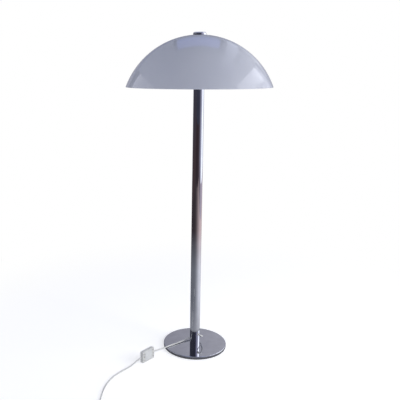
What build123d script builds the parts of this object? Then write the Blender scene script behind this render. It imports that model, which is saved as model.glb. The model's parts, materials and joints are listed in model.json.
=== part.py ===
"""Mushroom floor lamp: chromed base and pole, opal dome shade, three lampholders and a mains cord.

Millimetres, +Z up. The origin is the middle of the base's underside, on the floor. -Y is the front.
"""

import os
from math import cos, pi, radians, sin, sqrt, tan

from build123d import *

os.makedirs("parts", exist_ok=True)

# ---- Driving dimensions -------------------------------------------------------------------------

# Base
base_dia = 255.0
base_height = 12.0
base_edge_radius = 2.5
cover_wall = 1.2
cover_inner_radius = 1.3
cover_lift = 0.8  # the cover's lower edge stays this far off the floor
pad_thickness = 2.0
pad_margin = 4.0  # the pad ends this far inside the weight's edge
weight_clearance = 0.3
weight_chamfer = 2.5
spigot_height = 10.0  # the weight's spigot stands this far up inside the pole
spigot_chamfer = 1.0

# Pole
pole_dia = 40.0
pole_wall = 1.5
pole_length = 1050.0
plug_clearance = 0.05  # between a plug and the pole's bore
foot_plug_length = 16.0
top_plug_length = 16.0
top_flange_thickness = 2.0

# Bolt from below, M8
bolt_dia = 8.0
bolt_head_flats = 13.0
bolt_head_height = 5.3
bolt_washer_dia = 24.0
bolt_washer_thickness = 1.6
bolt_recess_dia = 27.0
bolt_recess_depth = 6.1
thread_clearance = 0.05  # between a screw and its plain bore
hole_clearance = 0.25  # between a part and a loose hole

# Cord and its hole in the pole
cord_dia = 5.5
cord_clearance = 0.1
exit_run = 7.6  # the cord runs straight out of the hole this far
cord_hole_height = 53.0
cord_hole_angle = -48.0  # from +X, so the hole faces front right
cord_hole_dia = 8.0
bush_flange_dia = 11.0
bush_flange_thickness = 1.5
bush_length = 4.0
flex_bend_radius = 15.0

# Shade, a spherical cap
shade_dia = 543.0
shade_rise = 187.0
shade_wall = 3.0
shade_rim_radius = 1.0
shade_drop = 21.0  # the rim hangs this far below the pole's top
shade_hole_dia = 14.0

# Knob on the shade
cap_dia = 48.0
cap_height = 9.0
cap_edge_radius = 5.5
cap_skirt_wall = 3.0
cap_bore_depth = 4.0
rod_end_gap = 0.5  # the rod stops this far below the bore's end
cap_washer_thickness = 1.6
cap_gap = 0.6  # the knob's skirt hangs this far above the shade

# What the shade rests on
seat_dia = 70.0
seat_width = 9.0
seat_thickness = 3.0
seat_gap = 0.3  # a turning face stays this far from its neighbour
plate_thickness = 2.0
shade_bush_flange_dia = 20.0
shade_bush_flange_thickness = 1.4
running_clearance = 0.05

# Threaded rod and hollow arms, M10
rod_dia = 10.0
tube_bore_dia = 7.2
nut_flats = 17.0
nut_height = 6.0
thin_nut_flats = 14.0
thin_nut_height = 3.0
nut_chamfer = 0.9

# Hub with the lampholders
hub_dia = 48.0
hub_height = 34.0
hub_wall = 2.0
hub_edge_radius = 2.0
hub_lid_thickness = 3.0
hub_lid_register = 2.0
hub_lid_edge_radius = 1.0
arm_count = 3
arm_first_angle = 90.0
arm_reach = 48.0  # the arms end this far from the pole's axis

# Lampholder and bulb, screw cap E27
holder_start = 40.0  # all places along an arm are measured from the pole's axis
holder_cap_length = 18.0
holder_cap_taper = 9.0
holder_cap_neck_dia = 18.0
holder_dia = 39.0
holder_wall = 2.4
holder_shell_length = 38.0
holder_rim_dia = 43.0
holder_rim_length = 3.0
insert_thickness = 8.0
liner_dia = 28.6
liner_wall = 0.5
liner_length = 26.0
contact_dia = 7.0
contact_height = 2.5
bulb_cap_dia = 26.6
bulb_cap_length = 24.0
bulb_tip_dia = 9.0
bulb_tip_length = 3.0
bulb_neck_dia = 25.0
bulb_neck_run = 6.0
bulb_dia = 60.0
bulb_glass_length = 78.0
bulb_wall = 1.0
terminal_size = (16.0, 12.0, 12.0)
terminal_corner_radius = 1.0
terminal_pitch = 8.0
terminal_hole_dia = 2.0
terminal_hole_depth = 5.0
terminal_mouth_dia = 4.0
terminal_mouth_depth = 2.0
lead_dia = 3.0
contact_gap = 0.3  # between a bulb's tip and its contact

# In-line foot switch, standing on its long edge
switch_length = 65.0
switch_width = 46.0
switch_thickness = 14.0
switch_wall = 1.8
switch_corner_radius = 5.0
switch_edge_radius = 1.6
switch_centre = (-182.9, -140.9)
switch_angle = 51.74  # of its length, from +X
window_length = 39.0
window_width = 38.0
plate_gap = 0.4  # round the pressed plate
plate_proud = 0.5
plate_lip = 1.4
plate_lip_thickness = 1.2
press_travel = 2.0
slot_count = 3
slot_length = 3.6
slot_width = 6.0
slot_corner_radius = 0.9
slot_pitch = 13.0
slot_inset = 7.5  # from the switch's end to the slots' middle
screw_boss_dia = 6.5
screw_dia = 3.0
screw_head_dia = 5.4
screw_head_height = 1.5
screw_length = 10.0
spring_thickness = 0.4
spring_width = 8.0
spring_span = 24.0
spring_gap = 0.3  # between the spring and what it bears on
terminal_length = 8.0
terminal_width = 12.0
terminal_spacing = 34.0

# Plug, flat with two pins, lying on the floor
plug_length = 36.0
plug_shoulder_run = 12.0
plug_nose_run = 9.0
plug_width = 35.0
plug_nose_width = 26.0
plug_thickness = 14.0
plug_edge_radius = 3.0
plug_sleeve_length = 18.0
plug_sleeve_dia = 11.0
plug_mouth_dia = 8.5
pin_dia = 4.0
pin_length = 19.0
pin_tip_radius = 1.0
pin_spacing = 18.6
plug_angle = 14.0
plug_place = (-206.0, -534.6)  # where the cord goes in
entry_run = 14.0  # the cord runs straight into the plug this far

# Coil of the cord that is put away
coil_centre = (-278.7, -505.0)
coil_inner_dia = 33.0
coil_outer_dia = 82.4
coil_height = 11.5
coil_floor_gap = 0.15

# ---- Sizes worked out from them ------------------------------------------------------------------

base_r = base_dia / 2
pole_r = pole_dia / 2
pole_bore_r = pole_r - pole_wall
pole_top = base_height + pole_length
weight_r = base_r - cover_wall - weight_clearance
weight_top = base_height - cover_wall
spigot_r = pole_bore_r - plug_clearance
spigot_top = base_height + spigot_height
foot_plug_top = spigot_top + foot_plug_length
bolt_seat = pad_thickness + bolt_recess_depth
cord_r = cord_dia / 2
rod_r = rod_dia / 2
tube_bore_r = tube_bore_dia / 2
thread_r = rod_r + thread_clearance
shade_rim_height = pole_top - shade_drop
shade_r = shade_dia / 2
sphere_r = (shade_r**2 + shade_rise**2) / (2 * shade_rise)
shade_top = shade_rim_height + shade_rise
sphere_z = shade_top - sphere_r
inner_sphere_r = sphere_r - shade_wall
hub_r = hub_dia / 2
hub_floor = pole_top + top_flange_thickness
hub_top = hub_floor + hub_height
arm_height = hub_floor + hub_height / 2
lid_top = hub_top + hub_lid_thickness


def dome_height(radius, distance):
    """Height above the floor of a sphere about the shade's centre, at a distance from the axis."""
    return sphere_z + sqrt(radius**2 - distance**2)


seat_r = seat_dia / 2
seat_base = dome_height(inner_sphere_r - seat_gap, seat_r) - seat_thickness
plate_base = seat_base - plate_thickness
cap_r = cap_dia / 2
cap_base = dome_height(sphere_r, cap_r) + cap_gap
cap_recess_r = cap_r - cap_skirt_wall
cap_seat = shade_top + cap_washer_thickness
rod_top = cap_seat + cap_bore_depth - rod_end_gap
bush_r = shade_hole_dia / 2 - running_clearance


def export_piece(builder, name):
    """Labels a finished piece and writes it as a STEP file."""
    builder.part.label = name
    export_step(builder.part, f"parts/{name}.step")


def direction(angle):
    """Level unit vector at an angle from +X, in degrees."""
    return Vector(cos(radians(angle)), sin(radians(angle)), 0)


def radial_plane(angle, height, distance=0.0):
    """Upright plane square to a ray from the pole's axis, its X axis pointing up."""
    ray = direction(angle)
    origin = (ray.X * distance, ray.Y * distance, height)
    return Plane(origin=origin, x_dir=(0, 0, 1), z_dir=ray)


def hex_nut(plane, flats, height):
    """Nut with turned-down corners and a threaded bore, standing on a plane."""
    with BuildPart(mode=Mode.PRIVATE) as nut:
        with BuildSketch(plane):
            Circle(flats / sqrt(3))
        extrude(amount=height)
        chamfer(nut.edges().filter_by(GeomType.CIRCLE), length=nut_chamfer)
        with BuildSketch(plane):
            RegularPolygon(radius=flats / 2, side_count=6, major_radius=False)
            Circle(thread_r, mode=Mode.SUBTRACT)
        extrude(amount=height, mode=Mode.INTERSECT)
    return nut.part


def bend_radii(points):
    """Largest radius that each corner's two runs allow: 0.45 of the shorter, over tan(half the turn)."""
    vectors = [Vector(*point) for point in points]
    runs = [after - before for before, after in zip(vectors, vectors[1:])]
    radii = []
    for run, next_run in zip(runs, runs[1:]):
        half_turn = radians(run.get_angle(next_run)) / 2
        radii.append(0.45 * min(run.length, next_run.length) / tan(half_turn))
    return radii


# ---- Base ----------------------------------------------------------------------------------------

# Pressed cover: a shallow inverted pan with a hole for the weight's spigot
with BuildPart() as base_cover:
    with BuildSketch():
        Circle(base_r)
    extrude(amount=base_height)
    top_edge = base_cover.edges().group_by(Axis.Z)[-1]
    fillet(top_edge, radius=base_edge_radius)
    with BuildSketch():
        Circle(base_r - cover_wall)
    extrude(amount=weight_top, mode=Mode.SUBTRACT)
    inner_edge = base_cover.edges(Select.LAST).sort_by(Axis.Z)[-1]
    fillet(inner_edge, radius=cover_inner_radius)
    with BuildSketch():
        Circle(spigot_r + hole_clearance)
    extrude(amount=base_height, mode=Mode.SUBTRACT)
    with BuildSketch():
        Circle(base_r)
    extrude(amount=cover_lift, mode=Mode.SUBTRACT)
export_piece(base_cover, "base_cover")

# Cast-iron weight with the spigot that centres the pole, recessed below for the bolt's head
with BuildPart() as base_weight:
    with BuildSketch(Plane.XY.offset(pad_thickness)):
        Circle(weight_r)
    extrude(amount=weight_top - pad_thickness)
    chamfer(base_weight.edges().group_by(Axis.Z)[-1], length=weight_chamfer)
    with BuildSketch(Plane.XY.offset(weight_top)):
        Circle(spigot_r)
    extrude(amount=spigot_top - weight_top)
    chamfer(base_weight.edges().group_by(Axis.Z)[-1], length=spigot_chamfer)
    with Locations(Plane.XY.offset(pad_thickness).rotated((180, 0, 0))):
        CounterBoreHole(
            radius=bolt_dia / 2 + hole_clearance,
            counter_bore_radius=bolt_recess_dia / 2,
            counter_bore_depth=bolt_recess_depth,
        )
export_piece(base_weight, "base_weight")

# Felt pad, a ring round the bolt's recess
with BuildPart() as base_pad:
    with BuildSketch():
        Circle(weight_r - pad_margin)
        Circle(bolt_recess_dia / 2 + hole_clearance, mode=Mode.SUBTRACT)
    extrude(amount=pad_thickness)
export_piece(base_pad, "base_pad")

with BuildPart() as base_washer:
    with BuildSketch(Plane.XY.offset(bolt_seat - bolt_washer_thickness)):
        Circle(bolt_washer_dia / 2)
        Circle(bolt_dia / 2 + hole_clearance, mode=Mode.SUBTRACT)
    extrude(amount=bolt_washer_thickness)
export_piece(base_washer, "base_washer")

with BuildPart() as base_bolt:
    with BuildSketch(Plane.XY.offset(bolt_seat - bolt_washer_thickness - bolt_head_height)):
        RegularPolygon(radius=bolt_head_flats / 2, side_count=6, major_radius=False)
    extrude(amount=bolt_head_height)
    with BuildSketch(Plane.XY.offset(bolt_seat - bolt_washer_thickness)):
        Circle(bolt_dia / 2)
    extrude(amount=foot_plug_top - bolt_seat)
export_piece(base_bolt, "base_bolt")

# ---- Pole ----------------------------------------------------------------------------------------

hole_plane = radial_plane(cord_hole_angle, cord_hole_height)
hole_axis = Axis(hole_plane.origin, hole_plane.z_dir)

with BuildPart() as pole_tube:
    with BuildSketch(Plane.XY.offset(base_height)):
        Circle(pole_r)
        Circle(pole_bore_r, mode=Mode.SUBTRACT)
    extrude(amount=pole_length)
    with BuildSketch(hole_plane):
        Circle(cord_hole_dia / 2)
    extrude(amount=pole_dia, mode=Mode.SUBTRACT)
export_piece(pole_tube, "pole_tube")

# Steel plugs fixed in the tube's two ends
with BuildPart() as pole_foot_plug:
    with BuildSketch(Plane.XY.offset(spigot_top)):
        Circle(pole_bore_r - plug_clearance)
        Circle(bolt_dia / 2 + thread_clearance, mode=Mode.SUBTRACT)
    extrude(amount=foot_plug_length)
export_piece(pole_foot_plug, "pole_foot_plug")

with BuildPart() as pole_top_plug:
    with BuildSketch(Plane.XY.offset(pole_top - top_plug_length)):
        Circle(pole_bore_r - plug_clearance)
    extrude(amount=top_plug_length)
    with BuildSketch(Plane.XY.offset(pole_top)):
        Circle(pole_r)
    extrude(amount=top_flange_thickness)
    with Locations((0, 0, hub_floor)):
        Hole(radius=thread_r)
export_piece(pole_top_plug, "pole_top_plug")

# Rubber bush in the side hole: a flange outside and a sleeve through the wall
with BuildPart() as cord_bush:
    with BuildSketch(hole_plane.offset(pole_r + plug_clearance)):
        Circle(bush_flange_dia / 2)
    extrude(amount=bush_flange_thickness)
    outer_edge = cord_bush.edges().filter_by(GeomType.CIRCLE).sort_by(hole_axis)[-1]
    fillet(outer_edge, radius=bush_flange_thickness / 2)
    with BuildSketch(hole_plane.offset(pole_r - bush_length)):
        Circle(cord_hole_dia / 2 - plug_clearance)
    extrude(amount=bush_length + bush_flange_thickness / 2)
    with BuildSketch(hole_plane):
        Circle(cord_r + cord_clearance)
    extrude(amount=pole_dia, mode=Mode.SUBTRACT)
export_piece(cord_bush, "cord_bush")

# ---- Hub on the pole -----------------------------------------------------------------------------

with BuildPart() as lower_nipple:
    with BuildSketch(Plane.XY.offset(pole_top - top_plug_length)):
        Circle(rod_r)
        Circle(tube_bore_r, mode=Mode.SUBTRACT)
    extrude(amount=top_plug_length + top_flange_thickness + hub_wall + thin_nut_height)
export_piece(lower_nipple, "lower_nipple")

with BuildPart() as nipple_nut:
    add(hex_nut(Plane.XY.offset(hub_floor + hub_wall), thin_nut_flats, thin_nut_height))
export_piece(nipple_nut, "nipple_nut")

arm_angles = [arm_first_angle + 360 / arm_count * turn for turn in range(arm_count)]

# Turned cup with one hole in its floor and one for each arm
with BuildPart() as cluster_hub:
    with BuildSketch(Plane.XY.offset(hub_floor)):
        Circle(hub_r)
    extrude(amount=hub_height)
    fillet(cluster_hub.edges().group_by(Axis.Z)[0], radius=hub_edge_radius)
    with BuildSketch(Plane.XY.offset(hub_floor + hub_wall)):
        Circle(hub_r - hub_wall)
    extrude(amount=hub_height, mode=Mode.SUBTRACT)
    with BuildSketch(Plane.XY.offset(hub_floor)):
        Circle(thread_r)
    extrude(amount=hub_wall, mode=Mode.SUBTRACT)
    for angle in arm_angles:
        with BuildSketch(radial_plane(angle, arm_height)):
            Circle(thread_r)
        extrude(amount=hub_dia, mode=Mode.SUBTRACT)
export_piece(cluster_hub, "cluster_hub")

with BuildPart() as hub_lid:
    with BuildSketch(Plane.XY.offset(hub_top)):
        Circle(hub_r)
    extrude(amount=hub_lid_thickness)
    fillet(hub_lid.edges().group_by(Axis.Z)[-1], radius=hub_lid_edge_radius)
    with BuildSketch(Plane.XY.offset(hub_top - hub_lid_register)):
        Circle(hub_r - hub_wall - plug_clearance)
    extrude(amount=hub_lid_register)
    with Locations((0, 0, lid_top)):
        Hole(radius=thread_r)
export_piece(hub_lid, "hub_lid")

# Terminal block inside the hub, standing on the nipple's nut
block_base = hub_floor + hub_wall + thin_nut_height
with BuildPart() as terminal_block:
    with BuildSketch(Plane.XY.offset(block_base)):
        RectangleRounded(terminal_size[0], terminal_size[1], radius=terminal_corner_radius)
    extrude(amount=terminal_size[2])
    with Locations(Plane.XY.offset(block_base + terminal_size[2])):
        with GridLocations(terminal_pitch, 0, 2, 1):
            CounterBoreHole(
                radius=terminal_hole_dia / 2,
                counter_bore_radius=terminal_mouth_dia / 2,
                counter_bore_depth=terminal_mouth_depth,
                depth=terminal_hole_depth,
            )
export_piece(terminal_block, "terminal_block")

# Cord inside the pole, from the bush's outer face to the terminal block
exit_distance = pole_r + plug_clearance + bush_flange_thickness
exit_ray = direction(cord_hole_angle)
exit_point = tuple(hole_plane.origin + exit_ray * exit_distance)
with BuildPart() as lamp_flex:
    with BuildLine():
        FilletPolyline(
            exit_point, (0, 0, cord_hole_height), (0, 0, block_base), radius=flex_bend_radius
        )
    with BuildSketch(Plane(origin=exit_point, z_dir=-exit_ray)):
        Circle(cord_r)
    sweep()
export_piece(lamp_flex, "lamp_flex")

# ---- Arms, lampholders and bulbs -----------------------------------------------------------------

holder_r = holder_dia / 2
shell_start = holder_start + holder_cap_length
insert_end = shell_start + insert_thickness
liner_r = liner_dia / 2
contact_end = insert_end + contact_height
bulb_start = contact_end + contact_gap
bulb_cap_end = bulb_start + bulb_tip_length + bulb_cap_length
bulb_end = bulb_cap_end + bulb_glass_length
bulb_r = bulb_dia / 2
arm_nut_end = sqrt((hub_r - hub_wall) ** 2 - (thin_nut_flats / sqrt(3)) ** 2)


def half_section(angle):
    """Plane whose X axis runs along an arm and whose Y axis points up, for profiles turned about it."""
    ray = direction(angle)
    return Plane(origin=(0, 0, arm_height), x_dir=ray, z_dir=ray.cross(Vector(0, 0, 1)))


def arm_axis(angle):
    """Axis of an arm and of the lampholder and bulb on it."""
    return Axis((0, 0, arm_height), direction(angle))


for number, angle in enumerate(arm_angles, start=1):
    section = half_section(angle)
    turning_axis = arm_axis(angle)

    with BuildPart() as arm_tube:
        with BuildSketch(radial_plane(angle, arm_height, arm_nut_end - thin_nut_height)):
            Circle(rod_r)
            Circle(tube_bore_r, mode=Mode.SUBTRACT)
        extrude(amount=arm_reach - arm_nut_end + thin_nut_height)
    export_piece(arm_tube, f"arm_tube_{number}")

    # Rear cover: a tapered cup that closes round the arm
    with BuildPart() as holder_cap:
        with BuildSketch(section):
            with BuildLine():
                Polyline(
                    (holder_start, thread_r),
                    (holder_start, holder_cap_neck_dia / 2),
                    (holder_start + holder_cap_taper, holder_r),
                    (shell_start, holder_r),
                    (shell_start, holder_r - holder_wall),
                    (holder_start + holder_cap_taper, holder_r - holder_wall),
                    (holder_start + holder_wall * 2, thread_r + holder_wall),
                    (arm_reach, thread_r + holder_wall),
                    (arm_reach, thread_r),
                    close=True,
                )
            make_face()
        revolve(axis=turning_axis)
    export_piece(holder_cap, f"holder_cap_{number}")

    # Front shell: a straight sleeve with a rim at its mouth
    with BuildPart() as holder_shell:
        with BuildSketch(radial_plane(angle, arm_height, shell_start)):
            Circle(holder_r)
        extrude(amount=holder_shell_length)
        with BuildSketch(
            radial_plane(angle, arm_height, shell_start + holder_shell_length - holder_rim_length)
        ):
            Circle(holder_rim_dia / 2)
        extrude(amount=holder_rim_length)
        with BuildSketch(radial_plane(angle, arm_height, shell_start)):
            Circle(holder_r - holder_wall)
        extrude(amount=holder_shell_length, mode=Mode.SUBTRACT)
    export_piece(holder_shell, f"holder_shell_{number}")

    # Bulb's screw cap, with its centre contact
    with BuildPart() as bulb_base:
        with BuildSketch(section):
            with BuildLine():
                Polyline(
                    (bulb_start, 0),
                    (bulb_start, bulb_tip_dia / 2),
                    (bulb_start + bulb_tip_length, bulb_cap_dia / 2 - bulb_tip_length),
                    (bulb_start + 2 * bulb_tip_length, bulb_cap_dia / 2),
                    (bulb_cap_end, bulb_cap_dia / 2),
                    (bulb_cap_end, 0),
                    close=True,
                )
            make_face()
        revolve(axis=turning_axis)
    export_piece(bulb_base, f"bulb_base_{number}")

    # Glass: a neck that swells into a ball, thin walled and closed by the cap
    with BuildPart() as bulb_glass:
        with BuildSketch(section):
            for wall, mode in ((0.0, Mode.ADD), (bulb_wall, Mode.SUBTRACT)):
                ball_r = bulb_r - wall
                neck_r = bulb_neck_dia / 2 - wall
                middle = bulb_end - bulb_r
                with BuildLine():
                    tip = (middle + ball_r, 0)
                    crown = (middle, ball_r)
                    neck = (bulb_cap_end + bulb_neck_run, neck_r)
                    Line((bulb_cap_end, 0), (bulb_cap_end, neck_r))
                    Line((bulb_cap_end, neck_r), neck)
                    Spline([neck, crown], tangents=[(1, 0), (1, 0)])
                    RadiusArc(crown, tip, ball_r)
                    Line(tip, (bulb_cap_end, 0))
                make_face(mode=mode)
        revolve(axis=turning_axis)
    export_piece(bulb_glass, f"bulb_glass_{number}")

# Nuts on the arms inside the hub
with BuildPart() as arm_nuts:
    for angle in arm_angles:
        nut_seat = radial_plane(angle, arm_height, arm_nut_end - thin_nut_height)
        add(hex_nut(nut_seat, thin_nut_flats, thin_nut_height))
export_piece(arm_nuts, "arm_nuts")

# Leads through the hollow arms, from the terminal block to the insulators
with BuildPart() as holder_leads:
    for angle in arm_angles:
        with BuildSketch(radial_plane(angle, arm_height, terminal_size[0] / 2 + lead_dia)):
            Circle(lead_dia / 2)
        extrude(amount=shell_start - terminal_size[0] / 2 - lead_dia)
export_piece(holder_leads, "holder_leads")

# Insulators that close the shells at the back
with BuildPart() as holder_inserts:
    for angle in arm_angles:
        with BuildSketch(radial_plane(angle, arm_height, shell_start)):
            Circle(holder_r - holder_wall - plug_clearance)
        extrude(amount=insert_thickness)
export_piece(holder_inserts, "holder_inserts")

# Threaded metal liners round the bulbs' caps
with BuildPart() as holder_liners:
    for angle in arm_angles:
        with BuildSketch(radial_plane(angle, arm_height, insert_end)):
            Circle(liner_r)
            Circle(liner_r - liner_wall, mode=Mode.SUBTRACT)
        extrude(amount=liner_length)
export_piece(holder_liners, "holder_liners")

with BuildPart() as holder_contacts:
    for angle in arm_angles:
        with BuildSketch(radial_plane(angle, arm_height, insert_end)):
            Circle(contact_dia / 2)
        extrude(amount=contact_height)
export_piece(holder_contacts, "holder_contacts")

# ---- Rod and the shade's seat --------------------------------------------------------------------

with BuildPart() as shade_rod:
    with BuildSketch(Plane.XY.offset(hub_top - hub_lid_register)):
        Circle(rod_r)
    extrude(amount=rod_top - hub_top + hub_lid_register)
export_piece(shade_rod, "shade_rod")

for name, nut_base in (("rod_nut", lid_top), ("plate_nut", plate_base - nut_height)):
    with BuildPart() as rod_fastener:
        add(hex_nut(Plane.XY.offset(nut_base), nut_flats, nut_height))
    export_piece(rod_fastener, name)

with BuildPart() as shade_plate:
    with BuildSketch(Plane.XY.offset(plate_base)):
        Circle(seat_r)
        Circle(thread_r, mode=Mode.SUBTRACT)
    extrude(amount=plate_thickness)
    fillet(shade_plate.edges().group_by(Axis.Z)[0].sort_by(SortBy.RADIUS)[-1], radius=plate_thickness / 2)
export_piece(shade_plate, "shade_plate")

# Rubber ring on the plate, its top curved like the shade's inside
with BuildPart() as seat_ring:
    with BuildSketch(Plane.XZ):
        with BuildLine():
            ring_inner_r = seat_r - seat_width
            ring_sphere_r = inner_sphere_r - seat_gap
            inner_top = (ring_inner_r, dome_height(ring_sphere_r, ring_inner_r))
            outer_top = (seat_r, dome_height(ring_sphere_r, seat_r))
            RadiusArc(inner_top, outer_top, ring_sphere_r)
            Polyline(outer_top, (seat_r, seat_base), (ring_inner_r, seat_base), inner_top)
        make_face()
    revolve(axis=Axis.Z)
export_piece(seat_ring, "seat_ring")

# ---- Shade and knob ------------------------------------------------------------------------------

# Spherical cap of even wall, open at the rim, with a hole in its crown
with BuildPart() as shade:
    with BuildSketch(Plane.XZ):
        with BuildLine():
            rim_inner_r = sqrt(inner_sphere_r**2 - (shade_rim_height - sphere_z) ** 2)
            rim_outer = (shade_r, shade_rim_height)
            rim_inner = (rim_inner_r, shade_rim_height)
            crown_outer = (0, shade_top)
            crown_inner = (0, shade_top - shade_wall)
            RadiusArc(crown_outer, rim_outer, sphere_r)
            Line(rim_outer, rim_inner)
            RadiusArc(rim_inner, crown_inner, -inner_sphere_r)
            Line(crown_inner, crown_outer)
        make_face()
    revolve(axis=Axis.Z)
    fillet(shade.edges().group_by(Axis.Z)[0], radius=shade_rim_radius)
    with BuildSketch(Plane.XY.offset(shade_top - 2 * shade_wall)):
        Circle(shade_hole_dia / 2)
    extrude(amount=3 * shade_wall, mode=Mode.SUBTRACT)
export_piece(shade, "shade")

# Sleeve in the crown's hole, with a flange under the shade, that turns on the rod
bush_flange_r = shade_bush_flange_dia / 2
bush_flange_top = dome_height(inner_sphere_r, bush_flange_r) - running_clearance
with BuildPart() as shade_bush:
    with BuildSketch(Plane.XY.offset(bush_flange_top - shade_bush_flange_thickness)):
        Circle(bush_flange_r)
    extrude(amount=shade_bush_flange_thickness)
    with BuildSketch(Plane.XY.offset(bush_flange_top)):
        Circle(bush_r)
    extrude(amount=shade_top - bush_flange_top)
    with Locations((0, 0, shade_top)):
        Hole(radius=rod_r + running_clearance)
export_piece(shade_bush, "shade_bush")

# Soft washer under the knob, its underside curved like the shade
with BuildPart() as cap_washer:
    with BuildSketch(Plane.XZ):
        with BuildLine():
            washer_inner_r = bush_r + hole_clearance
            washer_outer_r = cap_recess_r - hole_clearance
            washer_sphere_r = sphere_r + seat_gap
            inner_low = (washer_inner_r, dome_height(washer_sphere_r, washer_inner_r))
            outer_low = (washer_outer_r, dome_height(washer_sphere_r, washer_outer_r))
            RadiusArc(inner_low, outer_low, washer_sphere_r)
            Polyline(outer_low, (washer_outer_r, cap_seat), (washer_inner_r, cap_seat), inner_low)
        make_face()
    revolve(axis=Axis.Z)
export_piece(cap_washer, "cap_washer")

# Knob: a low drum with a rounded top, recessed below for the washer and bored blind for the rod
with BuildPart() as cap_knob:
    with BuildSketch(Plane.XY.offset(cap_base)):
        Circle(cap_r)
    extrude(amount=cap_height)
    fillet(cap_knob.edges().group_by(Axis.Z)[-1], radius=cap_edge_radius)
    with BuildSketch(Plane.XY.offset(cap_base)):
        Circle(cap_recess_r)
    extrude(amount=cap_seat - cap_base, mode=Mode.SUBTRACT)
    with BuildSketch(Plane.XY.offset(cap_seat)):
        Circle(rod_r + running_clearance)
    extrude(amount=cap_bore_depth, mode=Mode.SUBTRACT)
export_piece(cap_knob, "cap_knob")

# ---- In-line switch ------------------------------------------------------------------------------

along = direction(switch_angle)
facing = along.cross(Vector(0, 0, 1))
half_length = switch_length / 2
half_thickness = switch_thickness / 2
cord_level = switch_width / 2

# X along the cord, Y up from the switch's middle, Z out of the pressed face
switch_plane = Plane(
    origin=(switch_centre[0], switch_centre[1], cord_level), x_dir=along, z_dir=facing
)
cord_plane = Plane(origin=switch_plane.origin, x_dir=(0, 0, 1), z_dir=along)
facing_axis = Axis(switch_plane.origin, facing)
slot_places = GridLocations(switch_length - 2 * slot_inset, slot_pitch, 2, slot_count)
screw_places = GridLocations(switch_length - 2 * slot_inset, slot_pitch, 2, slot_count - 1)

# Rear half: a tray with four screw bosses
with BuildPart() as switch_base:
    with BuildSketch(switch_plane.offset(-half_thickness)):
        RectangleRounded(switch_length, switch_width, radius=switch_corner_radius)
    extrude(amount=half_thickness)
    fillet(switch_base.faces().sort_by(facing_axis)[0].edges(), radius=switch_edge_radius)
    with BuildSketch(switch_plane.offset(switch_wall - half_thickness)):
        RectangleRounded(
            switch_length - 2 * switch_wall,
            switch_width - 2 * switch_wall,
            radius=switch_corner_radius - switch_wall,
        )
    extrude(amount=half_thickness, mode=Mode.SUBTRACT)
    with BuildSketch(switch_plane.offset(switch_wall - half_thickness)):
        with screw_places:
            Circle(screw_boss_dia / 2)
    extrude(amount=half_thickness - switch_wall)
    with BuildSketch(switch_plane.offset(-half_thickness)):
        with screw_places:
            Circle(screw_head_dia / 2 + hole_clearance)
    extrude(amount=screw_head_height, mode=Mode.SUBTRACT)
    with BuildSketch(switch_plane.offset(-half_thickness)):
        with screw_places:
            Circle(screw_dia / 2 + hole_clearance)
    extrude(amount=switch_thickness, mode=Mode.SUBTRACT)
    with BuildSketch(cord_plane):
        Circle(cord_r + cord_clearance)
    extrude(amount=switch_length, both=True, mode=Mode.SUBTRACT)
export_piece(switch_base, "switch_base")

# Front half: window for the plate, three slots at each end, bosses for the screws
with BuildPart() as switch_cover:
    with BuildSketch(switch_plane):
        RectangleRounded(switch_length, switch_width, radius=switch_corner_radius)
    extrude(amount=half_thickness)
    fillet(switch_cover.faces().sort_by(facing_axis)[-1].edges(), radius=switch_edge_radius)
    with BuildSketch(switch_plane):
        RectangleRounded(
            switch_length - 2 * switch_wall,
            switch_width - 2 * switch_wall,
            radius=switch_corner_radius - switch_wall,
        )
    extrude(amount=half_thickness - switch_wall, mode=Mode.SUBTRACT)
    with BuildSketch(switch_plane):
        with screw_places:
            Circle(screw_boss_dia / 2)
    extrude(amount=half_thickness - switch_wall)
    with BuildSketch(switch_plane):
        RectangleRounded(window_length, window_width, radius=switch_edge_radius)
        with slot_places:
            RectangleRounded(slot_length, slot_width, radius=slot_corner_radius)
    extrude(amount=half_thickness, mode=Mode.SUBTRACT)
    with BuildSketch(switch_plane):
        with screw_places:
            Circle(screw_dia / 2 + thread_clearance)
    extrude(amount=half_thickness - switch_wall, mode=Mode.SUBTRACT)
    with BuildSketch(cord_plane):
        Circle(cord_r + cord_clearance)
    extrude(amount=switch_length, both=True, mode=Mode.SUBTRACT)
export_piece(switch_cover, "switch_cover")

# Pressed plate: a slab in the window with a lip behind it that keeps it in
lip_top = half_thickness - switch_wall - plate_gap
plate_low = lip_top - plate_lip_thickness
with BuildPart() as switch_plate:
    with BuildSketch(switch_plane.offset(plate_low)):
        RectangleRounded(
            window_length + 2 * plate_lip, window_width + 2 * plate_lip, radius=switch_edge_radius
        )
    extrude(amount=plate_lip_thickness)
    with BuildSketch(switch_plane.offset(plate_low)):
        RectangleRounded(
            window_length - 2 * plate_gap, window_width - 2 * plate_gap, radius=switch_edge_radius
        )
    extrude(amount=half_thickness + plate_proud - plate_low)
    fillet(switch_plate.faces().sort_by(facing_axis)[-1].edges(), radius=plate_proud)
export_piece(switch_plate, "switch_plate")

# Leaf spring: an arched bronze strip between the tray's floor and the plate
tray_floor = switch_wall - half_thickness
spring_rise = plate_low - tray_floor - spring_gap
with BuildPart() as switch_spring:
    with BuildSketch(Plane(origin=switch_plane.origin, x_dir=along, z_dir=(0, 0, -1))):
        with BuildLine():
            ThreePointArc(
                (-spring_span / 2, tray_floor + spring_gap),
                (0, tray_floor + spring_rise),
                (spring_span / 2, tray_floor + spring_gap),
            )
            offset(amount=spring_thickness / 2, side=Side.BOTH)
        make_face()
    extrude(amount=spring_width / 2, both=True)
export_piece(switch_spring, "switch_spring")

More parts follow.
